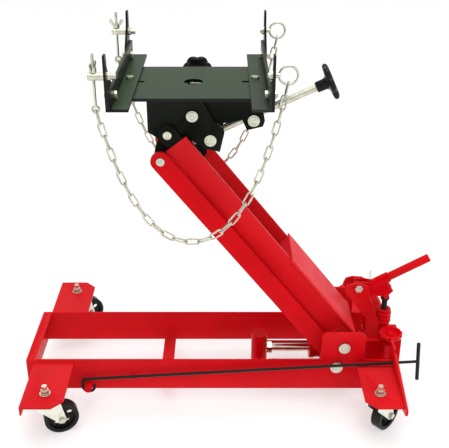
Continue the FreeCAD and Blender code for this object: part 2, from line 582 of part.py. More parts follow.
def handle():
    ears = []
    outline = [("pivot_x - 34", "pivot_z - 8"), ("pivot_x - 28", "pivot_z + 8"),
               ("pivot_x - 12", "pivot_z + ear_round"), ("pivot_x + 12", "pivot_z + ear_round - 2"),
               ("pivot_x + 24", "pivot_z + 4"), ("pivot_x + 30", "pivot_z - 30"),
               ("block_rear - 56", "block_top + 40"), ("block_rear - 56", "block_top"),
               ("cylinder_rear + 2", "block_top"), ("cylinder_rear - 2", "block_top + 56")]
    for side in SIDES:
        ear = profile("ear", "XZ_Plane", outline, "ear_thick",
                      [("pivot_x", "pivot_z", "pivot_radius + 0.05")])
        ears.append(place(ear, y=f"{side} * (ear_outer - ear_thick / 2)"))
    part("handle_bracket", group("ear_set", ears))
    turn = Rotation(Y_AXIS, 90 - SIZES["handle_angle"])
    along = "cos(handle_angle)"
    up = "sin(handle_angle)"
    start = (f"handle_x - socket_length * {along}", "0", f"handle_z - socket_length * {up}")
    shell = rod("socket_shell", "socket_radius", "socket_length", start, turn=turn)
    inside = "ear_outer - ear_thick - 1"
    outline = [("pivot_x - 13", "pivot_z - 10"), ("pivot_x - 10", "pivot_z + 12"),
               ("pivot_x + 12", "pivot_z + 12"), ("pivot_x + 40", "pivot_z + 6"),
               ("handle_x - 6", "handle_z - 8"), ("foot_x + 16", "foot_z + 14"),
               ("foot_x + 2", "foot_z - 2"), ("foot_x - 8", "foot_z - 2"),
               ("pivot_x + 22", "pivot_z - 24")]
    cheeks = []
    for side in SIDES:
        cheek = profile("cheek", "XZ_Plane", outline, "5",
                        [("pivot_x", "pivot_z", "pivot_radius + 0.05")])
        cheeks.append(place(cheek, y=f"{side} * ({inside} - 4)"))
    foot = rod("foot_roller", "foot_radius", f"2 * ({inside})",
               ("foot_x", f"-({inside})", "foot_z"))
    bore = rod("socket_bore", "tube_radius + 0.05", "socket_length + 10", start, turn=turn)
    yoke = fuse("socket_solid", [shell, foot] + cheeks)
    web = box("socket_web", ("30", f"2 * ({inside}) - 4", "5"),
              ("pivot_x + 24", f"-({inside}) + 2", "pivot_z - 4"))
    pin_way = rod("pin_way", "pivot_radius + 0.05", "80", ("pivot_x", "-40", "pivot_z"))
    part("handle_socket", cut("socket", fuse("socket_all", [yoke, web]), [bore, pin_way]))
    begin = (f"handle_x - (socket_length - 14) * {along}", "0",
             f"handle_z - (socket_length - 14) * {up}")
    tube = rod("tube", "tube_radius", "tube_length + socket_length - 24", begin, turn=turn)
    hollow = rod("hollow", "tube_bore", "tube_length + socket_length", begin, turn=turn)
    part("handle_tube", cut("handle", tube, [hollow]))


# ---- head ------------------------------------------------------------------

def head_base():
    outline = [("-cheek_left", "2"), ("-cheek_left", "cheek_top"), ("pivot_dx + 24", "cheek_top"),
               ("nut_dx + 8", "nut_dz + 46"), ("ear_right", "ear_chamfer"),
               ("ear_right + 2", "0"), ("ear_right - 8", "-ear_low"),
               ("nut_dx - 12", "-ear_low + 8"), ("38", "-8"), ("6", "-26"),
               ("2", "-link_dz - 6"), ("-link_dx + 6", "-link_dz - 18"),
               ("-link_dx - 8", "-link_dz - 17"), ("-link_dx - 18", "-link_dz - 4"),
               ("-link_dx - 10", "-24"), ("-link_dx - 4", "-13")]
    holes = [("0", "0", "head_pin_radius + 0.05"), ("-link_dx", "-link_dz", "head_pin_radius + 0.05"),
             ("pivot_dx", "pivot_dz", "roll_pin_radius + 0.05"),
             ("nut_dx", "nut_dz", "trunnion_radius + 0.05")]
    cheeks = []
    for side in SIDES:
        cheek = profile("head_cheek", "XZ_Plane", outline, "cheek_thick", holes)
        cheeks.append(place(cheek, y=f"{side} * (cheek_outer - cheek_thick / 2)"))
    back = box("head_back", ("5", "2 * cheek_outer", "22"), ("-cheek_left", "-cheek_outer", "2"))
    on_head("head_base", fuse("head_base_solid", cheeks + [back]))
    pins = [rod("head_pin", "head_pin_radius", "2 * head_pin_reach", ("0", "-head_pin_reach", "0"))]
    for side in SIDES:
        low = "-bar_inner - bar_thick - 2" if side < 0 else "cheek_outer - cheek_thick"
        pins.append(rod("link_top_pin", "head_pin_radius",
                        "bar_inner + bar_thick + 2 - cheek_outer + cheek_thick",
                        ("-link_dx", low, "-link_dz")))
    on_head("head_pins", group("head_pin_set", pins))


def trunnion(name, radius, reach, hole):
    """A cross pin along Y about the local origin, with a hole along X for the screw."""
    pin = rod(name + "_pin", radius, f"2 * {reach}", ("0", f"-{reach}", "0"))
    way = rod(name + "_way", hole, "80", ("-40", "0", "0"), "X")
    return cut(name, pin, [way])


SCREW_RUN = Vector(SIZES["collar_dx"] - SIZES["nut_dx"], 0,
                   SIZES["collar_dz"] - SIZES["nut_dz"]).normalize()
SCREW_TURN = Rotation(SCREW_RUN, Y_AXIS, SCREW_RUN.cross(Y_AXIS), "XYZ")


def from_head(dx="0", dy="0", dz="0"):
    return f"{HEAD[0]} + {dx}", f"{HEAD[1]} + {dy}", f"{HEAD[2]} + {dz}"


def tilt_gear():
    outline = [("wall_left", "wall_bottom"), ("wall_left", "bracket_top"),
               ("collar_dx + 6", "bracket_top"), ("collar_dx + 20", "collar_dz + 22"),
               ("collar_dx + 24", "collar_dz"), ("collar_dx + 20", "collar_dz - 13"),
               ("collar_dx - 15", "collar_dz - 22"), ("collar_dx - 25", "collar_dz + 2"),
               ("nut_dx + 32", "nut_dz + 38"), ("pivot_dx + 18", "pivot_dz - 16"),
               ("pivot_dx - 16", "pivot_dz - 16"), ("pivot_dx - 26", "pivot_dz + 4")]
    holes = [("pivot_dx", "pivot_dz", "roll_pin_radius + 0.05"),
             ("collar_dx", "collar_dz", "trunnion_radius + 0.05")]
    plates = []
    for side in SIDES:
        plate = profile("tilt_cheek", "XZ_Plane", outline, "bracket_thick", holes)
        plates.append(place(plate, y=f"{side} * (bracket_outer - bracket_thick / 2)"))
    for x in ("wall_left", "wall_right"):
        wall = box("tilt_wall", ("wall_thick", "2 * bracket_outer - 2", "bracket_top - wall_bottom"),
                   (x, "-bracket_outer + 1", "wall_bottom"))
        hole = rod("wall_hole", "roll_pin_radius + 0.05", "3 * wall_thick",
                   (f"{x} - wall_thick", "0", "roll_pin_z"), "X")
        plates.append(cut("tilt_wall_bored", wall, [hole]))
    plates += roll_outrigger()
    on_head("tilt_bracket", fuse("tilt_bracket_solid", plates))
    pivot = rod("tilt_pin", "roll_pin_radius", "2 * cheek_outer + 10",
                ("pivot_dx", "-cheek_outer - 5", "pivot_dz"))
    caps = [rod("tilt_cap", "trunnion_radius", "4", ("pivot_dx", y, "pivot_dz"))
            for y in ("-cheek_outer - 5", "cheek_outer + 1")]
    roll = rod("roll_pin", "roll_pin_radius", "wall_right - wall_left + 3 * wall_thick + 8",
               ("wall_left - wall_thick - 6", "0", "roll_pin_z"), "X")
    on_head("tilt_pins", group("tilt_pin_set", [fuse("tilt_pin_solid", [pivot] + caps), roll]))
    part("tilt_nut", trunnion("tilt_nut_solid", "trunnion_radius", "cheek_outer", "screw_hole"),
         *from_head("nut_dx", "0", "nut_dz"), SCREW_TURN)
    part("tilt_collar", trunnion("tilt_collar_solid", "trunnion_radius", "(bracket_outer + 2)",
                                 "screw_radius + 0.05"),
         *from_head("collar_dx", "0", "collar_dz"), SCREW_TURN)
    span = "sqrt((collar_dx - nut_dx) ^ 2 + (collar_dz - nut_dz) ^ 2)"
    screw = rod("screw", "screw_radius", "screw_back + screw_reach", ("-screw_back", "0", "0"), "X")
    rings = [rod("stop_ring", "screw_radius + 4", "5", (spot, "0", "0"), "X")
             for spot in (f"{span} - trunnion_radius - 6", f"{span} + trunnion_radius + 1")]
    part("tilt_screw", fuse("screw_solid", [screw] + rings),
         *from_head("nut_dx", "0", "nut_dz"), SCREW_TURN)
    grip = star_wheel("star", "star_radius")
    bore = rod("star_bore", "screw_radius + 0.02", "wheel_hub_length + 1.2",
               ("-wheel_hub_length - 1", "0", "0"), "X")
    grip = place(cut("star_wheel", grip, [bore]), x="screw_reach + 0.2")
    part("tilt_handwheel", group("star_set", [grip]), *from_head("nut_dx", "0", "nut_dz"),
         SCREW_TURN)


def roll_outrigger():
    """Two arms over the far cheek of the head base that carry the side-tilt nut."""
    arms = []
    for x in ("roll_x - roll_half - roll_lug_thick", "roll_x + roll_half"):
        outline = [("bracket_outer - 4", "bracket_top - 7"), ("bracket_outer - 4", "bracket_top"),
                   ("roll_nut_y - 12", "bracket_top"), ("roll_nut_y + 15", "roll_nut_z + 10"),
                   ("roll_nut_y + 13", "roll_nut_z - 14"), ("roll_nut_y - 14", "roll_nut_z - 14"),
                   ("roll_nut_y - 16", "roll_nut_z + 12"), ("roll_nut_y - 20", "bracket_top - 7")]
        arm = profile("outrigger", "YZ_Plane", outline, "roll_lug_thick",
                      [("roll_nut_y", "roll_nut_z", "roll_pin_cross + 0.05")])
        arms.append(place(arm, x=f"{x} + roll_lug_thick / 2"))
    return arms


ROLL_RUN = Vector(0, SIZES["roll_collar_y"] - SIZES["roll_nut_y"],
                  SIZES["roll_collar_z"] - SIZES["roll_nut_z"]).normalize()
ROLL_TURN = Rotation(ROLL_RUN, X_AXIS, ROLL_RUN.cross(X_AXIS), "XYZ")


def roll_gear():
    reach = "(roll_half + roll_lug_thick)"
    part("roll_nut", trunnion("roll_nut_solid", "roll_pin_cross", reach, "roll_screw_hole"),
         *from_head("roll_x", "roll_nut_y", "roll_nut_z"), ROLL_TURN)
    part("roll_collar", trunnion("roll_collar_solid", "roll_pin_cross", reach,
                                 "roll_screw_radius + 0.05"),
         *from_head("roll_x", "roll_collar_y", "roll_collar_z"), ROLL_TURN)
    span = "sqrt((roll_collar_y - roll_nut_y) ^ 2 + (roll_collar_z - roll_nut_z) ^ 2)"
    screw = rod("side_screw", "roll_screw_radius", f"{span} + roll_screw_reach",
                (f"-{span} - 11", "0", "0"), "X")
    rings = [rod("side_ring", "roll_screw_radius + 3", "4", (spot, "0", "0"), "X")
             for spot in ("-roll_pin_cross - 5", "roll_pin_cross + 1")]
    part("roll_screw", fuse("side_screw_solid", [screw] + rings),
         *from_head("roll_x", "roll_collar_y", "roll_collar_z"), ROLL_TURN)
    bore = rod("side_bore", "roll_screw_radius + 0.02", "wheel_hub_length + 1.2",
               ("-wheel_hub_length - 1", "0", "0"), "X")
    grip = cut("side_wheel", star_wheel("side_star", "side_star_radius"), [bore])
    place(grip, x="roll_screw_reach - 10.8")
    part("roll_handwheel", group("side_star_set", [grip]),
         *from_head("roll_x", "roll_collar_y", "roll_collar_z"), ROLL_TURN)


# ---- saddle ----------------------------------------------------------------

def slot_tool(middle_x):
    pieces = [box("slot_way", ("2 * slot_travel", "2 * slot_radius", "30"),
                  (f"{middle_x} - slot_travel", "-slot_radius", "saddle_low - 10"))]
    for side in SIDES:
        pieces.append(rod("slot_end", "slot_radius", "30",
                          (f"{middle_x} + {side} * slot_travel", "0", "saddle_low - 10"), "Z"))
    return pieces


def saddle():
    plate = box("saddle_slab", ("saddle_right - saddle_left", "2 * saddle_half", "saddle_thick"),
                ("saddle_left", "-saddle_half", "saddle_low"))
    hole = rod("saddle_centre", "saddle_hole", "30", ("roll_x - 3", "0", "saddle_low - 10"), "Z")
    tools = [hole] + slot_tool("left_slot_x") + slot_tool("right_slot_x")
    pieces = [cut("saddle_bored", plate, tools)]
    for x in ("wall_left - wall_thick - 1", "wall_right + wall_thick + 1"):
        outline = [("-22", "saddle_low"), ("22", "saddle_low"), ("13", "roll_pin_z - 14"),
                   ("-13", "roll_pin_z - 14")]
        lug = profile("roll_lug", "YZ_Plane", outline, "wall_thick - 1",
                      [("0", "roll_pin_z", "roll_pin_radius + 0.05")])
        pieces.append(place(lug, x=f"{x} + wall_thick / 2"))
    for x in ("roll_x - roll_half - roll_lug_thick", "roll_x + roll_half"):
        outline = [("roll_collar_y - 20", "saddle_low"), ("saddle_half", "saddle_low"),
                   ("roll_collar_y + 15", "roll_collar_z + 10"),
                   ("roll_collar_y + 15", "roll_collar_z - 8"),
                   ("roll_collar_y + 6", "roll_collar_z - 15"),
                   ("roll_collar_y - 14", "roll_collar_z - 14")]
        ear = profile("collar_ear", "YZ_Plane", outline, "roll_lug_thick",
                      [("roll_collar_y", "roll_collar_z", "roll_pin_cross + 0.05")])
        pieces.append(place(ear, x=f"{x} + roll_lug_thick / 2"))
    on_head("saddle_plate", group("saddle_weldment", pieces))


def saddle_rails():
    low = "saddle_low + saddle_thick"
    hands = (("left", "left_angle_x", -1, "left_bolt_x"),
             ("right", "right_angle_x", 1, "right_bolt_x"))
    for hand, inner_x, way, bolt_x in hands:
        outer_x = f"({inner_x} + {way} * rail_flange)"
        flat_x = outer_x if way < 0 else inner_x
        wall_x = outer_x if way < 0 else f"{outer_x} - angle_thick"
        flat = box("flat", ("rail_flange", "2 * angle_half", "angle_thick"),
                   (flat_x, "-angle_half", low))
        wall = box("wall", ("angle_thick", "2 * angle_half", "angle_height"),
                   (wall_x, "-angle_half", low))
        tools = [rod("bolt_way", "bolt_radius + 0.05", "20", (bolt_x, "0", f"{low} - 5"), "Z")]
        for side in SIDES:
            tools.append(rod("finger_bolt_way", "bolt_radius + 0.05", "3 * angle_thick",
                             (f"{wall_x} - angle_thick", f"{side} * finger_bolt_y",
                              "finger_bolt_z"), "X"))
        on_head(f"saddle_rail_{hand}", cut(f"angle_{hand}", fuse(f"angle_{hand}_solid",
                                                                [flat, wall]), tools))
        finger_x = f"{outer_x} + {way} * finger_thick / 2"
        on_head(f"chain_posts_{hand}", group(f"post_set_{hand}", posts(finger_x, way)))
        bolts = [slot_bolt(bolt_x, low)] + [finger_bolt(outer_x, way, side) for side in SIDES]
        on_head(f"rail_bolts_{hand}", group(f"bolt_set_{hand}", bolts))


def posts(x, way):
    """Two flat fingers that stand on the ends of a saddle rail, bored for the chain gear."""
    low = "saddle_low + saddle_thick"
    fingers = []
    for side in SIDES:
        outline = [("angle_half", low), ("angle_half", "finger_top"),
                   ("angle_half - finger_tip", "finger_top"),
                   ("angle_half - finger_tip - 6", "finger_top - 30"),
                   ("angle_half - finger_foot", f"{low} + finger_step + 12"),
                   ("angle_half - finger_foot", low)]
        bore_z = "sleeve_z" if way < 0 else "ring_z"
        bore = "sleeve_outer - 2" if way < 0 else "bolt_radius"
        mirrored = [(f"{side} * ({y})", z) for y, z in outline]
        finger = profile("finger", "YZ_Plane", mirrored, "finger_thick",
                         [(f"{side} * chain_y", bore_z, f"{bore} + 0.05"),
                          (f"{side} * finger_bolt_y", "finger_bolt_z", "bolt_radius + 0.05")])
        fingers.append(place(finger, x=x))
    return fingers


def slot_bolt(x, low):
    """The bolt that clamps a rail through the saddle's slot, with its nut underneath."""
    depth = "(saddle_thick + 12)"
    shank = rod("shank", "bolt_radius", f"angle_thick + 4 + {depth}", (x, "0", f"{low} - {depth}"),
                "Z")
    head = nut("bolt_head", "bolt_head_radius", "bolt_head_thick", (x, "0", f"{low} + angle_thick"),
               "Z")
    lock = nut("lock_nut", "bolt_head_radius", "bolt_head_thick",
               (x, "0", "saddle_low - bolt_head_thick - 0.4"), "Z")
    return fuse("slot_bolt_solid", [shank, head, lock])


def finger_bolt(outer_x, way, side):
    """The bolt through a rail's wall and a finger's foot, its head inside the rail."""
    y = f"{side} * finger_bolt_y"
    inner = f"{outer_x} - {way} * angle_thick"
    outer = f"{outer_x} + {way} * finger_thick"
    head_x = f"{inner} - bolt_head_thick" if way > 0 else inner
    nut_x = outer if way > 0 else f"{outer} - bolt_head_thick"
    low_x = head_x if way > 0 else f"{nut_x} - 3"
    length = "angle_thick + finger_thick + 2 * bolt_head_thick + 3"
    return fuse("finger_bolt_solid", [
        rod("finger_shank", "bolt_radius", length, (low_x, y, "finger_bolt_z"), "X"),
        nut("finger_head", "bolt_head_radius", "bolt_head_thick", (head_x, y, "finger_bolt_z"), "X"),
        nut("finger_nut", "bolt_head_radius", "bolt_head_thick", (nut_x, y, "finger_bolt_z"), "X")])


def chain_gear():
    sleeves = []
    face = "left_angle_x - rail_flange"
    for side in SIDES:
        y = f"{side} * chain_y"
        barrel = rod("sleeve_barrel", "sleeve_outer", "sleeve_length",
                     (f"{face} - finger_thick - sleeve_length", y, "sleeve_z"), "X")
        stud = rod("sleeve_stud", "sleeve_outer - 2", "sleeve_length",
                   (f"{face} - sleeve_length / 2", y, "sleeve_z"), "X")
        inner = nut("sleeve_nut", "sleeve_outer + 1", "6", (face, y, "sleeve_z"), "X")
        hook_x = f"{face} - finger_thick - sleeve_length + 11"
        hole = rod("hook_way", "hook_radius + 0.6", "60", (hook_x, y, "sleeve_z - 30"), "Z")
        hole.Placement.Rotation = TURN["Z"]
        sleeves.append(cut("sleeve", fuse("sleeve_all", [barrel, stud, inner]), [hole]))
        name = "near" if side < 0 else "far"
        part(f"chain_hook_{name}", chain_hook(), *from_head(hook_x, y, "sleeve_z"))
        turn = Rotation(Z_AXIS, SIZES["wing_turn"] if side < 0 else 0)
        part(f"wing_nut_{name}", wing_nut(), *from_head(hook_x, y, "sleeve_z"), turn)
    on_head("hook_sleeves", group("sleeve_set", sleeves))
    rings = []
    outer = "right_angle_x + rail_flange + finger_thick"
    for side in SIDES:
        y = f"{side} * chain_y"
        ring = DOC.addObject("Part::Torus", "ring")
        ring.setExpression("Radius1", named("ring_radius"))
        ring.setExpression("Radius2", named("ring_wire"))
        place(ring, f"{outer} + ring_offset", y, "ring_z", TURN["Y"])
        stud = rod("ring_stud", "bolt_radius", "ring_offset - ring_radius + finger_thick + 10",
                   (f"{outer} - finger_thick - 9", y, "ring_z"), "X")
        lock = nut("ring_nut", "bolt_head_radius", "6",
                   (f"{outer} - finger_thick - 6", y, "ring_z"), "X")
        rings.append(fuse("ring_bolt", [ring, stud, lock]))
    on_head("chain_rings", group("ring_set", rings))


def chain_hook():
    """A threaded rod with an eyed lower end, about its sleeve."""
    stem = rod("hook_stem", "hook_radius", "hook_length", ("0", "0", "hook_above - hook_length"),
               "Z")
    eye = DOC.addObject("Part::Torus", "hook_eye")
    eye.setExpression("Radius1", named("hook_radius + 3.5"))
    eye.setExpression("Radius2", named("hook_radius - 0.5"))
    place(eye, "0", "0", "hook_above - hook_length - hook_radius - 3", TURN["Y"])
    return fuse("hook_and_eye", [stem, eye])


def wing_nut():
    """The nut on top of the sleeve that draws the hooked rod up."""
    seat = nut("wing_seat", "7", "9", ("0", "0", "sleeve_outer + 0.4"), "Z")
    wings = []
    for way in SIDES:
        outline = [(f"{way} * 4", "sleeve_outer + 2"), (f"{way} * 7", "sleeve_outer + 2"),
                   (f"{way} * 17", "sleeve_outer + 16"), (f"{way} * 13", "sleeve_outer + 21"),
                   (f"{way} * 9", "sleeve_outer + 18"), (f"{way} * 4", "sleeve_outer + 9")]
        wings.append(profile("wing", "XZ_Plane", outline, "2.5"))
    way = rod("wing_way", "hook_radius + 0.05", "60", ("0", "0", "0"), "Z")
    return cut("wing_nut", fuse("wing_nut_solid", [seat] + wings), [way])


def link_shape(pitch, half_width, wire):
    """One welded chain link along X: two half rings joined by two straight sides."""
    straight = pitch - 2 * half_width + 2 * wire + value("chain_slack")
    half = straight / 2
    low, high = -half_width, half_width
    path = Part.Wire([
        Part.LineSegment(Vector(-half, low, 0), Vector(half, low, 0)).toShape(),
        Part.Arc(Vector(half, low, 0), Vector(half + half_width, 0, 0),
                 Vector(half, high, 0)).toShape(),
        Part.LineSegment(Vector(half, high, 0), Vector(-half, high, 0)).toShape(),
        Part.Arc(Vector(-half, high, 0), Vector(-half - half_width, 0, 0),
                 Vector(-half, low, 0)).toShape()])
    ring = Part.Wire(Part.Circle(Vector(0, low, 0), X_AXIS, wire).toShape())
    return path.makePipeShell([ring], True, True)


def chain_curve():
    """Points of the hanging chain in the head's XZ plane, one for each link's ends."""
    x0, z0 = value("chain_left"), value("chain_top")
    x1, z1 = value("chain_right"), value("chain_right_top")
    span, rise = x1 - x0, z1 - z0
    drop = value("chain_drop")
    low, high = span * 0.05, span * 5
    for _ in range(60):
        scale = (low + high) / 2
        middle = (x0 + x1) / 2 - scale * math.asinh(
            rise / (2 * scale * math.sinh(span / (2 * scale))))
        sag = scale * (math.cosh((x0 - middle) / scale) - 1)
        low, high = (scale, high) if sag > drop else (low, scale)
    start = scale * math.sinh((x0 - middle) / scale)
    finish = scale * math.sinh((x1 - middle) / scale)
    count = 2 * round(((finish - start) / value("chain_pitch") - 1) / 2) + 1
    spots = []
    for index in range(count + 1):
        run = start + (finish - start) * index / count
        x = middle + scale * math.asinh(run / scale)
        z = z0 + scale * (math.cosh((x - middle) / scale) - math.cosh((x0 - middle) / scale))
        spots.append(Vector(x, 0, z))
    return spots


def chains():
    spots = chain_curve()
    wire, half_width = value("chain_wire"), value("chain_half")
    for side, name in zip(SIDES, ("near", "far")):
        links = []
        for index, (begin, end) in enumerate(zip(spots, spots[1:])):
            run = end - begin
            across = run.cross(Y_AXIS) if index % 2 else Y_AXIS
            turn = Rotation(run, across, run.cross(across), "XYZ")
            solid = link_shape(run.Length, half_width, wire)
            solid.Placement = Placement((begin + end) / 2, turn)
            links.append(Part.Solid(solid) if solid.ShapeType == "Shell" else solid)
        chain = DOC.addObject("Part::Feature", "chain_" + name)
        chain.Shape = Part.makeCompound(links)
        part("chain_" + name, chain, *from_head("0", f"{side} * chain_y", "0"))


# ---- tow rod ---------------------------------------------------------------

def tow_rod():
    """The round rod with a tee at its rear end and a hook round the peg at its front."""
    bend, corner = value("hook_bend"), value("tow_bend")
    rise, radius = value("tow_rise"), value("tow_radius")
    rear = Vector(value("tow_rear - peg_x"), 0, value("tow_rear_z - peg_z"))
    turn_at = Vector(-bend, 0, rise)
    run = (rear - turn_at).normalize()
    bisect = (run + Vector(0, 0, -1)).normalize()
    half = math.acos(run.dot(Vector(0, 0, -1))) / 2
    back_off = corner / math.tan(half)
    on_run, on_leg = turn_at + run * back_off, turn_at + Vector(0, 0, -back_off)
    middle = turn_at + bisect * (corner / math.sin(half) - corner)
    path = Part.Wire([
        Part.LineSegment(rear, on_run).toShape(),
        Part.Arc(on_run, middle, on_leg).toShape(),
        Part.LineSegment(on_leg, Vector(-bend, 0, -2)).toShape(),
        Part.Arc(Vector(-bend, 0, -2), Vector(0, 0, -2 - bend), Vector(bend, 0, -2)).toShape(),
        Part.LineSegment(Vector(bend, 0, -2), Vector(bend, 0, 3)).toShape()])
    ring = Part.Wire(Part.Circle(rear, run, radius).toShape())
    rod_solid = path.makePipeShell([ring], True, True)
    cross = Vector(-run.z, 0, run.x)
    tee = Part.makeCylinder(radius + 1, value("2 * tee_half"), rear - cross * value("tee_half"),
                            cross)
    bar_feature = DOC.addObject("Part::Feature", "tow_rod")
    bar_feature.Shape = rod_solid.fuse(tee)
    part("tow_rod", bar_feature, "peg_x", "tow_y", "peg_z")


# ---- build, check and write ------------------------------------------------

def check_and_export():
    DOC.recompute()
    faults = [f"{thing.Label}: {thing.State}" for thing in DOC.Objects
              if {"Invalid", "Error"} & set(thing.State)]
    for thing in PARTS:
        shape = thing.Shape
        if shape.isNull() or not shape.isValid() or shape.Volume <= 0:
            faults.append(thing.Label + ": bad shape")
    if faults:
        raise SystemExit("\n".join(faults))
    os.makedirs("parts", exist_ok=True)
    for stale in os.listdir("parts"):
        os.remove(os.path.join("parts", stale))
    for thing in PARTS:
        thing.Shape.exportStep(f"parts/{thing.Label}.step")
    box_all = Part.makeCompound([thing.Shape for thing in PARTS]).BoundBox
    print(len(PARTS), "sub-parts", box_all)


def main():
    side_rails()
    cross_members()
    caster_plates()
    casters()
    chassis_fasteners()
    chassis_pins()
    lift_arm()
    level_links()
    ram()
    pump()
    handle()
    head_base()
    tilt_gear()
    roll_gear()
    saddle()
    saddle_rails()
    chain_gear()
    chains()
    tow_rod()
    check_and_export()


main()
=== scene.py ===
"""Looks of the low-position transmission jack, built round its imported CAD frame, in metres."""

import json
import math
import random

import bmesh
import bpy
import numpy
from mathutils import Matrix, Vector


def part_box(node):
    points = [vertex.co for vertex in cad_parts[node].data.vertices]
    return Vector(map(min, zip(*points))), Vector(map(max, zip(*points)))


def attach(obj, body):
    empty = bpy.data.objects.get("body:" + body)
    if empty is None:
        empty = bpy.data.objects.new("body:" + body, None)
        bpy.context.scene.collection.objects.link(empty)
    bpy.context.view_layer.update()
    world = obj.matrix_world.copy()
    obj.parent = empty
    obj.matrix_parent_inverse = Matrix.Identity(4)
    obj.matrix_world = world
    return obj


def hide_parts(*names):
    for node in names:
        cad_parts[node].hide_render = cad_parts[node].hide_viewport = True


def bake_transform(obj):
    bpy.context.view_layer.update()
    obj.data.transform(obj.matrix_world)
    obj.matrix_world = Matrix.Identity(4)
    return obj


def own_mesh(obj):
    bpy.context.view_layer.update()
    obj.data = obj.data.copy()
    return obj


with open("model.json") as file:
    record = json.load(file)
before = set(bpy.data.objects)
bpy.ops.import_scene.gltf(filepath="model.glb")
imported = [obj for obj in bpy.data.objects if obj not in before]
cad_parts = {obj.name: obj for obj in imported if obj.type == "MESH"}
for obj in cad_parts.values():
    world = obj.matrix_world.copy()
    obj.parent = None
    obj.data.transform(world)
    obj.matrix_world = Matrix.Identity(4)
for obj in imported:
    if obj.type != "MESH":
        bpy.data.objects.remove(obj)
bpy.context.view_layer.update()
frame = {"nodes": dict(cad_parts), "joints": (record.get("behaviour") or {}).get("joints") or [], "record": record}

MM = 0.001
NODES = frame["nodes"]
JOINTS = {joint["name"]: joint for joint in frame["joints"]}
X, Y, Z = Vector((1, 0, 0)), Vector((0, 1, 0)), Vector((0, 0, 1))
RIPPLE = 3.4 * MM
DICE = random.Random(7)
BODY_OF = {node: body for body, nodes in frame["record"]["behaviour"]["bodies"].items()
           for node in nodes}


# ---- camera, light and floor -----------------------------------------------

def add_camera():
    """The photograph's view: level across, in line with the jack's middle, looking down."""
    lens_px, frame_px, pitch = 792.7, 449.0, math.radians(26.74)
    data = bpy.data.cameras.new("camera")
    data.sensor_width = 36.0
    data.lens = lens_px / frame_px * data.sensor_width
    data.clip_start, data.clip_end = 0.05, 60.0
    camera = bpy.data.objects.new("camera", data)
    camera.location = (-0.0088, -1.6652, 1.2729)
    camera.rotation_euler = (math.radians(90) - pitch, 0.0, 0.0)
    bpy.context.scene.collection.objects.link(camera)
    bpy.context.scene.camera = camera


def area_light(name, place, target, size, power):
    data = bpy.data.lights.new(name, "AREA")
    data.shape = "RECTANGLE"
    data.size, data.size_y = size
    data.energy = power
    light = bpy.data.objects.new(name, data)
    light.location = place
    aim = Vector(target) - Vector(place)
    light.rotation_euler = aim.to_track_quat("-Z", "Y").to_euler()
    bpy.context.scene.collection.objects.link(light)


def add_lights():
    middle = (0.0, 0.0, 0.4)
    area_light("key", (-1.5, -2.3, 2.9), middle, (1.6, 1.2), 11)
    area_light("top", (0.2, -0.2, 3.4), middle, (1.8, 1.8), 32)
    area_light("side", (2.5, -1.6, 1.6), middle, (1.0, 1.4), 9)
    area_light("back", (-0.8, 2.4, 3.0), middle, (1.6, 1.0), 8)
    world = bpy.data.worlds.new("studio")
    bpy.context.scene.world = world
    world.use_nodes = True
    tree = world.node_tree
    background = tree.nodes["Background"]
    background.inputs["Strength"].default_value = 1.1
    height = tree.nodes.new("ShaderNodeSeparateXYZ")
    tree.links.new(tree.nodes.new("ShaderNodeTexCoord").outputs["Generated"],
                   height.inputs["Vector"])
    dome = tree.nodes.new("ShaderNodeValToRGB")
    for at, level in ((0.14, 0.82), (0.34, 0.34), (0.62, 0.62)):
        dome.color_ramp.elements.new(at).color = (level, level, level, 1.0)
    dome.color_ramp.elements[0].color = (0.90, 0.90, 0.90, 1.0)
    tree.links.new(height.outputs["Z"], dome.inputs["Fac"])
    tree.links.new(dome.outputs["Color"], background.inputs["Color"])
    bpy.context.scene.view_settings.view_transform = "Standard"


# ---- materials -------------------------------------------------------------

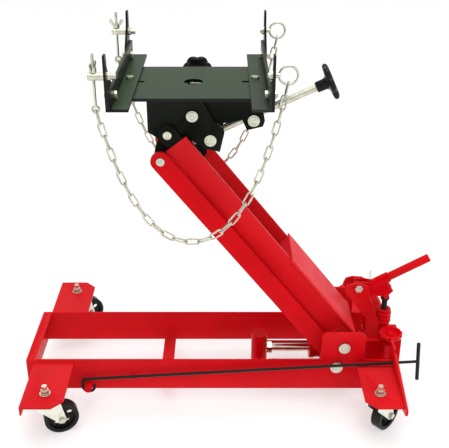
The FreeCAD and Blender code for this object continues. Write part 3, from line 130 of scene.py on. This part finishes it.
class Shader:
    """A material's node tree, with short calls for the nodes that the finishes share."""

    def __init__(self, name):
        self.material = bpy.data.materials.new(name)
        self.material.use_nodes = True
        self.tree = self.material.node_tree
        self.surface = self.tree.nodes["Principled BSDF"]
        self.place = self.node("ShaderNodeTexCoord").outputs["Object"]

    def node(self, kind, **settings):
        made = self.tree.nodes.new(kind)
        for key, setting in settings.items():
            if key in made.inputs:
                made.inputs[key].default_value = setting
            else:
                setattr(made, key, setting)
        return made

    def join(self, start, end):
        self.tree.links.new(start, end)

    def noise(self, scale, detail=4.0, rough=0.55, stretch=None):
        made = self.node("ShaderNodeTexNoise", Scale=scale, Detail=detail, Roughness=rough)
        source = self.place
        if stretch is not None:
            mapping = self.node("ShaderNodeMapping", Scale=stretch)
            self.join(source, mapping.inputs["Vector"])
            source = mapping.outputs["Vector"]
        self.join(source, made.inputs["Vector"])
        return made.outputs["Fac"]

    def ramp(self, source, stops):
        made = self.node("ShaderNodeValToRGB")
        steps = made.color_ramp.elements
        while len(steps) < len(stops):
            steps.new(0.5)
        for step, (at, colour) in zip(steps, stops):
            step.position = at
            step.color = (*colour, 1.0) if len(colour) == 3 else colour
        self.join(source, made.inputs["Fac"])
        return made.outputs["Color"]

    def grey_ramp(self, source, stops):
        return self.ramp(source, [(at, (level, level, level)) for at, level in stops])

    def mix(self, share, first, second):
        made = self.node("ShaderNodeMix", data_type="RGBA")
        self.join(share, made.inputs[0])
        for socket, given in ((made.inputs[6], first), (made.inputs[7], second)):
            if isinstance(given, tuple):
                socket.default_value = (*given, 1.0)
            else:
                self.join(given, socket)
        return made.outputs[2]

    def bump(self, layers):
        """Layers are (height source, strength, distance in metres), the first one lowest."""
        normal = None
        for height, strength, distance in layers:
            made = self.node("ShaderNodeBump", Strength=strength, Distance=distance)
            self.join(height, made.inputs["Height"])
            if normal is not None:
                self.join(normal, made.inputs["Normal"])
            normal = made.outputs["Normal"]
        self.join(normal, self.surface.inputs["Normal"])

    def set(self, **values):
        for key, setting in values.items():
            self.surface.inputs[key.replace("_", " ")].default_value = setting


def paint(name, colour, shade, rough, gloss, tint, top_sheen_colour=None):
    """Sprayed enamel: orange peel, slight mottling, uneven gloss, and edges painted lighter: partly rubbed wear,
    partly a painted highlight.

    The last colour is a painted reflection: faces which look up are painted lighter, in place of the bright sky's
    sheen on glossy paint."""
    made = Shader(name)
    mottle = made.noise(9.0, 5.0)
    base = made.mix(made.grey_ramp(mottle, [(0.35, 0.0), (0.7, 1.0)]), colour, shade)
    edge = made.node("ShaderNodeNewGeometry").outputs["Pointiness"]
    # Painted highlight: edges, where pointiness is high, are painted lighter, partly as rubbed wear and partly in
    # place of the highlights that catch along them.
    edge_wear_and_highlight = made.grey_ramp(edge, [(0.53, 0.0), (0.60, 0.5)])
    wear_and_highlight_colour = tuple(min(1.0, level * 1.25 + 0.06) for level in colour)
    if top_sheen_colour:
        split = made.node("ShaderNodeSeparateXYZ")
        made.join(made.node("ShaderNodeNewGeometry").outputs["Normal"], split.inputs["Vector"])
        # Painted reflection: faces which look up take the lighter top colour, in place of the sky's sheen on them.
        painted_top_sheen = made.grey_ramp(split.outputs["Z"], [(0.75, 0.0), (0.97, 1.0)])
        base = made.mix(painted_top_sheen, base, top_sheen_colour)
    made.join(made.mix(edge_wear_and_highlight, base, wear_and_highlight_colour), made.surface.inputs["Base Color"])
    made.join(made.grey_ramp(made.noise(38.0, 6.0), [(0.3, rough * 0.8), (0.75, rough * 1.3)]),
              made.surface.inputs["Roughness"])
    made.bump([(made.noise(420.0, 2.0), 0.1, 0.0004), (made.noise(60.0, 3.0), 0.06, 0.0008)])
    made.set(Specular_IOR_Level=gloss, Specular_Tint=(*tint, 1.0))
    return made.material


def metal(name, bright, dull, rough, scratch=(1, 1, 1)):
    """Plated or ground steel: cloudy plating, fine scratches along one direction."""
    made = Shader(name)
    cloud = made.grey_ramp(made.noise(55.0, 6.0), [(0.35, 0.0), (0.68, 1.0)])
    made.join(made.mix(cloud, bright, dull), made.surface.inputs["Base Color"])
    lines = made.noise(900.0, 3.0, stretch=scratch)
    made.join(made.grey_ramp(lines, [(0.3, rough * 0.75), (0.75, rough * 1.35)]),
              made.surface.inputs["Roughness"])
    made.bump([(lines, 0.08, 0.0002), (made.noise(130.0, 4.0), 0.05, 0.0004)])
    made.set(Metallic=1.0)
    return made.material


def plastic(name, colour, rough, grain=0.15):
    """Moulded plastic or rubber with a fine grain and a little dust."""
    made = Shader(name)
    dust = made.grey_ramp(made.noise(24.0, 6.0), [(0.5, 0.0), (0.85, 0.35)])
    dusty = tuple(level + 0.03 for level in colour)
    made.join(made.mix(dust, colour, dusty), made.surface.inputs["Base Color"])
    made.join(made.grey_ramp(made.noise(70.0, 5.0), [(0.3, rough * 0.85), (0.7, rough * 1.2)]),
              made.surface.inputs["Roughness"])
    made.bump([(made.noise(1100.0, 2.0), grain, 0.0003)])
    made.set(Specular_IOR_Level=0.2)
    return made.material


def floor_material():
    made = Shader("floor")
    tone = made.ramp(made.noise(1.5, 4.0), [(0.3, (0.58, 0.58, 0.58)), (0.8, (0.62, 0.62, 0.62))])
    made.join(tone, made.surface.inputs["Base Color"])
    made.set(Roughness=0.8, Specular_IOR_Level=0.05, Emission_Color=(1.0, 1.0, 1.0, 1.0),
             Emission_Strength=0.50)
    return made.material


def add_floor():
    bpy.ops.mesh.primitive_plane_add(size=40.0, location=(0.0, 6.0, -0.0005))
    floor = bpy.context.object
    floor.name = "floor"
    floor.data.materials.append(floor_material())


FINISH = {
    "red_paint": paint("red_paint", (0.68, 0.0012, 0.006), (0.54, 0.001, 0.005), 0.28, 0.08,
                       (1.0, 0.10, 0.14)),
    # cover_red is a pinker red than red_paint: part of the cover's sheen is painted into its colour.
    "cover_red": paint("cover_red", (0.72, 0.016, 0.026), (0.65, 0.011, 0.018), 0.36, 0.02,
                       (1.0, 0.28, 0.32)),
    # black_paint's last colour is a painted reflection on faces which look up.
    "black_paint": paint("black_paint", (0.0022, 0.0030, 0.0016), (0.0035, 0.0045, 0.0026), 0.28,
                         0.035, (0.85, 1.0, 0.80), (0.042, 0.068, 0.036)),
    "zinc": metal("zinc", (0.72, 0.73, 0.60), (0.52, 0.52, 0.42), 0.34),
    "fork_zinc": metal("fork_zinc", (0.88, 0.90, 0.78), (0.72, 0.74, 0.64), 0.34),
    "bright_steel": metal("bright_steel", (0.82, 0.81, 0.72), (0.66, 0.65, 0.56), 0.14,
                          (0.05, 1, 1)),
    "black_plastic": plastic("black_plastic", (0.004, 0.005, 0.004), 0.28),
    "rod_black": paint("rod_black", (0.009, 0.012, 0.010), (0.016, 0.020, 0.017), 0.42, 0.15,
                       (1.0, 1.0, 1.0)),
    "wheel_black": plastic("wheel_black", (0.006, 0.009, 0.007), 0.42, 0.3),
}


# ---- CAD nodes that keep their shape ---------------------------------------

def soften(thing):
    """Rounds a CAD node's hard edges by modifiers, which leave its mesh as it is."""
    weld = thing.modifiers.new("weld", "WELD")
    weld.merge_threshold = 0.00002
    flat = thing.modifiers.new("flat", "DECIMATE")
    flat.decimate_type = "DISSOLVE"
    flat.angle_limit = math.radians(0.6)
    round_off = thing.modifiers.new("round", "BEVEL")
    round_off.width = 1.0 * MM
    round_off.segments = 2
    round_off.limit_method = "ANGLE"
    round_off.angle_limit = math.radians(32)
    thing.modifiers.new("normals", "WEIGHTED_NORMAL")
    for face in thing.data.polygons:
        face.use_smooth = True


def finish_nodes():
    slots = {row["node"]: row["material_slot"] for row in frame["record"]["subparts"]}
    for name, thing in NODES.items():
        thing.data.materials.clear()
        thing.data.materials.append(FINISH[slots[name]])
        soften(thing)


# ---- mesh building ---------------------------------------------------------

def add_piece(name, bm, body, slot):
    """A new object from a bmesh. It rides on a body when one is given."""
    mesh = bpy.data.meshes.new(name)
    bmesh.ops.recalc_face_normals(bm, faces=bm.faces)
    bm.to_mesh(mesh)
    bm.free()
    mesh.materials.append(FINISH[slot])
    for face in mesh.polygons:
        face.use_smooth = True
    thing = bpy.data.objects.new(name, mesh)
    bpy.context.scene.collection.objects.link(thing)
    if body:
        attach(thing, body)
    return thing


def stitch(bm, rings, closed):
    """Faces between rings of vertices, the last ring joined to the first when closed."""
    count = len(rings[0])
    pairs = list(zip(rings, rings[1:]))
    if closed:
        pairs.append((rings[-1], rings[0]))
    for first, second in pairs:
        for index in range(count):
            after = (index + 1) % count
            bm.faces.new((first[index], first[after], second[after], second[index]))
    if not closed:
        bm.faces.new(reversed(rings[0]))
        bm.faces.new(rings[-1])


def sweep(bm, path, radius, side, sides, closed=False):
    """A round tube along a path. radius is a function of the share of the path passed."""
    rings = []
    last = len(path) - 1
    for index, spot in enumerate(path):
        ahead = path[(index + 1) % len(path)] if closed or index < last else spot
        behind = path[index - 1] if closed or index > 0 else spot
        run = (ahead - behind).normalized()
        side = (side - run * side.dot(run)).normalized()
        up = run.cross(side)
        size = radius(index / last)
        rings.append([bm.verts.new(spot + (side * math.cos(turn) + up * math.sin(turn)) * size)
                      for turn in (math.tau * step / sides for step in range(sides))])
    stitch(bm, rings, closed)


def lathe(bm, place, rows, segments, lobes=0, depth=0.0):
    """Turns rows of (height, radius, lobe share) about the local Z axis of a placement."""
    rings = []
    for height, radius, share in rows:
        ring = []
        for step in range(segments):
            turn = math.tau * step / segments
            dip = depth * share * (1 - abs(math.cos(lobes * turn / 2)) ** 0.9) if lobes else 0.0
            reach = radius * (1 - dip)
            ring.append(bm.verts.new(place @ Vector((reach * math.cos(turn),
                                                     reach * math.sin(turn), height))))
        rings.append(ring)
    stitch(bm, rings, False)


def stand(origin, axis):
    """A placement whose Z axis lies along the given axis."""
    return Matrix.Translation(origin) @ Vector(axis).to_track_quat("Z", "Y").to_matrix().to_4x4()


def span_of(node, origin, axis):
    """How far a node reaches along an axis, and its largest distance from it."""
    origin, axis = Vector(origin), Vector(axis).normalized()
    along, away = [], []
    for vertex in NODES[node].data.vertices:
        offset = vertex.co - origin
        reach = offset.dot(axis)
        along.append(reach)
        away.append((offset - axis * reach).length)
    return min(along), max(along), max(away)


# ---- chains ----------------------------------------------------------------

def links_of(node):
    """Each link of a CAD chain as its middle and its three half extents with directions."""
    bm = bmesh.new()
    bm.from_mesh(NODES[node].data)
    bmesh.ops.remove_doubles(bm, verts=bm.verts, dist=0.00002)
    found, seen = [], set()
    for start in bm.verts:
        if start in seen:
            continue
        island, edge = [], [start]
        seen.add(start)
        while edge:
            vertex = edge.pop()
            island.append(vertex.co.copy())
            for link in vertex.link_edges:
                other = link.other_vert(vertex)
                if other not in seen:
                    seen.add(other)
                    edge.append(other)
        found.append(frame_of(island))
    bm.free()
    return found


def frame_of(spots):
    """The middle, the principal directions and the half extents of a cloud, longest first."""
    cloud = numpy.array(spots)
    middle = (cloud.max(axis=0) + cloud.min(axis=0)) / 2
    _, turn = numpy.linalg.eigh(numpy.cov((cloud - cloud.mean(axis=0)).T))
    reach = (cloud - middle) @ turn
    half = (reach.max(axis=0) - reach.min(axis=0)) / 2
    middle = middle + turn @ ((reach.max(axis=0) + reach.min(axis=0)) / 2)
    axes = [Vector(turn[:, column]) for column in (2, 1, 0)]
    return Vector(middle), axes, [half[2], half[1], half[0]]


def chain_link(bm, middle, axes, half):
    """A wire link with two round ends and a slight swelling where it was welded."""
    wire = half[2]
    bend = half[1] - wire
    straight = half[0] - wire - bend
    path = []
    for side in (1, -1):
        for step in range(13):
            turn = math.radians(-90 + 15 * step)
            path.append(middle + side * (axes[0] * (straight + bend * math.cos(turn))
                                         + axes[1] * (bend * math.sin(turn))))
    weld = 12.5 / (len(path) - 1)
    sweep(bm, path, lambda share: wire * (1 + 0.3 * math.exp(-((share - weld) / 0.03) ** 2)),
          axes[2], 10, True)


def build_chains():
    """Each chain in two halves, one on its hook and one on the rings' rail."""
    for side in ("near", "far"):
        node = f"chain_{side}"
        low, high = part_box(node)
        links = sorted(links_of(node), key=lambda link: link[0].x)
        middle = (low.x + high.x) / 2
        hook_top = links[0][0].z + links[0][2][0]
        hook_keep = 0.25
        ring_keep = 1 - (1 - hook_keep) * (hook_top - low.z) / (high.z - low.z)
        halves = (("hook", [link for link in links if link[0].x < middle],
                   f"chain_hook_{side}", (low.x, low.y, hook_top), hook_keep),
                  ("ring", [link for link in links if link[0].x >= middle],
                   "rail_rear", (high.x, low.y, high.z), ring_keep))
        for name, chosen, body, anchor, keep in halves:
            bm = bmesh.new()
            for link in chosen:
                chain_link(bm, *link)
            piece = add_piece(f"{node}_{name}_half", bm, body, "zinc")
            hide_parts(node)
            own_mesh(piece)


# ---- springs, threads and handwheels ---------------------------------------

def helix(origin, axis, start, end, radius, pitch, steps=16):
    """Points of a helix round an axis, from one distance along it to another."""
    frame_at = stand(origin, axis)
    count = max(2, round((end - start) / pitch * steps))
    spots = []
    for index in range(count + 1):
        turn = math.tau * index / steps
        spots.append(frame_at @ Vector((radius * math.cos(turn), radius * math.sin(turn),
                                        start + (end - start) * index / count)))
    return spots


def build_springs():
    """Two coils with straight ends, which run between the ram's flange and its crosshead."""
    low, high = (Vector(corner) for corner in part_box("return_springs"))
    outer = (high.z - low.z) / 2
    wire, straight, lead = 1.1 * MM, 18 * MM, 8 * MM
    for name, y in (("near", low.y + outer), ("far", high.y - outer)):
        spot = Vector((low.x, y, (low.z + high.z) / 2))
        length = high.x - low.x
        coil = helix(spot, X, straight, length - straight, outer - wire, 3.4 * MM, 14)
        path = [spot, spot + X * lead] + coil + [spot + X * (length - lead), spot + X * length]
        bm = bmesh.new()
        sweep(bm, path, lambda share: wire, Z, 7)
        piece = add_piece(f"return_spring_{name}", bm, None, "bright_steel")
        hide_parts("return_springs")
        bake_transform(piece)


def thread(bm, origin, axis, start, end, radius, pitch):
    """A helical ridge, mostly sunk in its screw, that fades out at both ends."""
    ridge = pitch * 0.27
    sweep(bm, helix(origin, axis, start, end, radius - ridge * 0.35, pitch),
          lambda share: ridge * min(1.0, share * 60 + 0.1, (1 - share) * 60 + 0.1), Z, 6)


def build_threads():
    """Threads of the two screws, clear of the stretch that works in the nut, and of the rods."""
    for name, radius, pitch, clear, tail in (("tilt", 8.0, 3.0, 27, 42),
                                             ("roll", 5.5, 2.5, 15, 0)):
        collar = Vector(JOINTS[f"{name}_collar_turn"]["pos_m"])
        axis = JOINTS[f"{name}_screw_spin"]["axis"]
        span = (collar - Vector(JOINTS[f"{name}_nut_turn"]["pos_m"])).length
        bm = bmesh.new()
        thread(bm, collar, axis, clear * MM - span, -21 * MM, radius * MM, pitch * MM)
        if tail:
            thread(bm, collar, axis, -span - tail * MM, -span - clear * MM, radius * MM,
                   pitch * MM)
        add_piece(f"{name}_screw_thread", bm, f"{name}_screw", "zinc")
    for side in ("near", "far"):
        node = f"chain_hook_{side}"
        low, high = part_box(node)
        foot = Vector(((low.x + high.x) / 2, (low.y + high.y) / 2, high.z))
        bm = bmesh.new()
        thread(bm, foot, Z, -52 * MM, -0.6 * MM, 3 * MM, 1.25 * MM)
        add_piece(f"{node}_thread", bm, node, "zinc")


def build_handwheels():
    """Six-lobed moulded wheels with a recessed face, on the tilt screw and the side screw."""
    hub, hub_length = 12 * MM, 26 * MM
    for name in ("tilt", "roll"):
        spin = JOINTS[f"{name}_screw_spin"]
        node = f"{name}_handwheel"
        start, end, reach = span_of(node, spin["pos_m"], spin["axis"])
        back = start + hub_length
        thick = end - back
        rows = [(start, hub * 0.72, 0), (start + 0.4 * MM, hub * 0.9, 0),
                (start + 1.6 * MM, hub, 0), (back - 7 * MM, hub * 1.02, 0),
                (back - 2.5 * MM, hub * 1.15, 0), (back - 0.4 * MM, hub * 1.5, 0),
                (back + 0.3 * MM, reach * 0.62, 0.6), (back + thick * 0.08, reach * 0.84, 0.9),
                (back + thick * 0.22, reach * 0.955, 1), (back + thick * 0.5, reach, 1),
                (back + thick * 0.78, reach * 0.955, 1), (back + thick * 0.93, reach * 0.86, 1),
                (end - 0.1 * MM, reach * 0.76, 1), (end - 0.1 * MM, reach * 0.66, 0.8),
                (end - 2.2 * MM, reach * 0.6, 0.7), (end - 2.6 * MM, reach * 0.36, 0),
                (end - 0.9 * MM, reach * 0.31, 0), (end - 0.9 * MM, reach * 0.2, 0),
                (end - 1.7 * MM, reach * 0.17, 0)]
        bm = bmesh.new()
        lathe(bm, stand(spin["pos_m"], spin["axis"]), rows, 96, 6, 0.17)
        piece = add_piece(f"{node}_moulding", bm, f"{name}_screw", "black_plastic")
        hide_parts(node)


def build_knob():
    """The release valve's hand knob: a dished cup with a scalloped rim on a turned stem."""
    low, high = (Vector(corner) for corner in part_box("release_knob"))
    centre = Vector(JOINTS["release_turn"]["pos_m"])
    reach = high.x - centre.x
    cup = high.z - 15 * MM
    rows = [(low.z, 5.2 * MM, 0), (low.z + 0.8 * MM, 6 * MM, 0), (cup - 1 * MM, 6 * MM, 0),
            (cup, 10 * MM, 0), (cup + 0.6 * MM, reach * 0.62, 0.2),
            (cup + 3 * MM, reach * 0.86, 0.8), (cup + 7 * MM, reach * 0.97, 1),
            (cup + 11 * MM, reach, 1), (high.z - 1.4 * MM, reach * 0.985, 1),
            (high.z - 0.3 * MM, reach * 0.93, 0.8), (high.z, reach * 0.86, 0.4),
            (high.z - 0.5 * MM, reach * 0.79, 0), (high.z - 3 * MM, reach * 0.72, 0),
            (high.z - 7.4 * MM, reach * 0.6, 0), (high.z - 8.2 * MM, reach * 0.4, 0),
            (high.z - 7.6 * MM, reach * 0.27, 0), (high.z - 4.6 * MM, reach * 0.25, 0),
            (high.z - 4.0 * MM, reach * 0.2, 0), (high.z - 4.0 * MM, reach * 0.05, 0)]
    bm = bmesh.new()
    lathe(bm, Matrix.Translation((centre.x, centre.y, 0.0)), rows, 96, 12, 0.075)
    piece = add_piece("release_knob_casting", bm, "release_knob", "red_paint")
    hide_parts("release_knob")


# ---- welds and small fittings ----------------------------------------------

def ripple(size, count, share):
    """A bead's radius where the given share of its ripples has been laid."""
    return size * (0.86 + 0.14 * abs(math.sin(math.pi * count * share)))


def bead(bm, start, end, size=2.6 * MM):
    """A run of weld: overlapping ripples along a straight seam, a little uneven."""
    start, end = Vector(start), Vector(end)
    length = (end - start).length
    count = max(12, round(length / (0.9 * MM)))
    spots = []
    for index in range(count + 1):
        wobble = Vector([DICE.uniform(-0.12, 0.12) * MM for _ in range(3)])
        spots.append(start + (end - start) * index / count + wobble)
    run = (end - start).normalized()
    side = Z if abs(run.z) < 0.9 else X
    sweep(bm, spots, lambda share: ripple(size, length / RIPPLE, share)
          * min(1.0, 12 * share + 0.35, 12 * (1 - share) + 0.35), side, 8)


def ring_bead(bm, centre, radius):
    """A weld all the way round a tube whose axis is Y."""
    ripples = round(math.tau * radius / RIPPLE)
    count = ripples * 5
    spots = [centre + Vector((radius * math.cos(turn), 0.0, radius * math.sin(turn)))
             for turn in (math.tau * index / count for index in range(count))]
    sweep(bm, spots, lambda share: ripple(2.4 * MM, ripples, share), Y, 8, True)


def build_chassis_welds():
    """The caster plates, the front angle, the rear plate and the crossbar to the side rails."""
    low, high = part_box("side_rail_right")
    plate_low, plate_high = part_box("caster_plates")
    rail_thick, bar_x, bar_half = 6 * MM, -153.8 * MM, 14 * MM
    bm = bmesh.new()
    for side in (-1, 1):
        outer, inner = side * high.y, side * (high.y - rail_thick)
        top = plate_high.z
        bead(bm, (plate_low.x + 2 * MM, outer, top), (plate_low.x + 92 * MM, outer, top))
        bead(bm, (plate_high.x - 82 * MM, outer, top), (plate_high.x - 8 * MM, outer, top))
        bead(bm, (low.x + 0.5 * MM, inner, low.z + 4 * MM),
             (low.x + 0.5 * MM, inner, low.z + 76 * MM))
        bead(bm, (high.x, inner, low.z + 30 * MM), (high.x, inner, low.z + 82 * MM))
        bead(bm, (bar_x - bar_half, inner, low.z + 6 * MM),
             (bar_x + bar_half, inner, low.z + 6 * MM))
    add_piece("chassis_welds", bm, "chassis", "red_paint")


def build_arm_welds():
    """The sleeve, the cover and the web to the arm's side plates."""
    shaft = Vector(JOINTS["lift"]["pos_m"])
    head = Vector(JOINTS["head_level"]["pos_m"])
    along = (head - shaft).normalized()
    up = Vector((along.z, 0.0, -along.x))
    outside, inside, sleeve = 60 * MM, 54 * MM, 23.6 * MM
    above, below = 29 * MM, 53 * MM
    bm = bmesh.new()
    for side in (-1, 1):
        face = shaft + Y * side * outside
        ring_bead(bm, face, sleeve)
        edge = face + up * above
        bead(bm, edge - along * 4 * MM, edge + along * 246 * MM)
        floor = shaft + Y * side * inside - up * below
        bead(bm, floor + along * 262 * MM, floor + along * 474 * MM)
    add_piece("arm_welds", bm, "lift_arm", "red_paint")


def build_saddle_welds():
    """The side-tilt collar's lugs to the underside of the saddle plate."""
    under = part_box("saddle_plate")[1].z - 7 * MM
    low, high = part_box("roll_collar")
    bm = bmesh.new()
    for x in (low.x, high.x):
        bead(bm, (x, 0.104, under), (x, 0.117, under), 1.8 * MM)
    add_piece("saddle_welds", bm, "saddle", "black_paint")


def build_split_pin():
    """The split pin that stands up out of the handle socket."""
    pivot = Vector(JOINTS["pump_stroke"]["pos_m"])
    foot = pivot + Vector((27 * MM, -5 * MM, 2 * MM))
    bends = ((0.7, 0), (1.6, 20), (1.2, 34), (0.3, 41))
    bm = bmesh.new()
    for way in (-1, 1):
        path = [foot + Vector((way * across * MM, 0, height * MM)) for across, height in bends]
        sweep(bm, path, lambda share: 0.9 * MM * (1 - 0.4 * share), Y, 8)
    add_piece("split_pin", bm, "pump_lever", "zinc")


def build_axle_nuts():
    """A hexagon nut and a washer at each end of every caster's axle."""
    for corner in ("front_left", "front_right", "rear_left", "rear_right"):
        roll = JOINTS[f"roll_{corner}"]
        axis = Vector(roll["axis"])
        bm = bmesh.new()
        for way in (-1, 1):
            seat = stand(Vector(roll["pos_m"]) + axis * way * 17.1 * MM, axis * way)
            lathe(bm, seat, [(0, 8.6 * MM, 0), (1.0 * MM, 8.8 * MM, 0),
                             (1.2 * MM, 8.2 * MM, 0)], 36)
            lathe(bm, seat, [(1.2 * MM, 6.6 * MM, 0), (1.7 * MM, 7.4 * MM, 0),
                             (4.6 * MM, 7.4 * MM, 0), (5.2 * MM, 6.3 * MM, 0)], 6)
        piece = add_piece(f"axle_nuts_{corner}", bm, f"caster_{corner}", "zinc")
        for face in piece.data.polygons:
            face.use_smooth = False


def build_pin_faces():
    """A turned ring and a centre mark on the end faces of the cross pins."""
    for joint, node in (("lift", "chassis_pins"), ("link_swing", "chassis_pins"),
                        ("head_level", "head_pins"), ("tilt", "tilt_pins"),
                        ("tilt_nut_turn", "tilt_nut"), ("tilt_collar_turn", "tilt_collar")):
        spot = Vector(JOINTS[joint]["pos_m"])
        rim = []
        for vertex in NODES[node].data.vertices:
            away = math.hypot(vertex.co.x - spot.x, vertex.co.z - spot.z)
            if away < 0.03:
                rim.append((vertex.co.y, away))
        bm = bmesh.new()
        for way in (-1, 1):
            face = way * max(way * y for y, _ in rim)
            reach = max(away for y, away in rim if abs(y - face) < 0.0001)
            lathe(bm, stand((spot.x, face, spot.z), Y * way),
                  [(-0.3 * MM, reach * 0.76, 0), (0.4 * MM, reach * 0.73, 0),
                   (0.5 * MM, reach * 0.66, 0), (0.5 * MM, reach * 0.58, 0),
                   (0.1 * MM, reach * 0.52, 0), (0.1 * MM, reach * 0.2, 0),
                   (0.4 * MM, reach * 0.16, 0), (0.1 * MM, reach * 0.05, 0)], 48)
        add_piece(f"{joint}_pin_faces", bm, BODY_OF[node], "zinc")


add_camera()
add_lights()
add_floor()
finish_nodes()
build_chains()
build_springs()
build_threads()
build_handwheels()
build_knob()
build_chassis_welds()
build_arm_welds()
build_saddle_welds()
build_split_pin()
build_axle_nuts()
build_pin_faces()
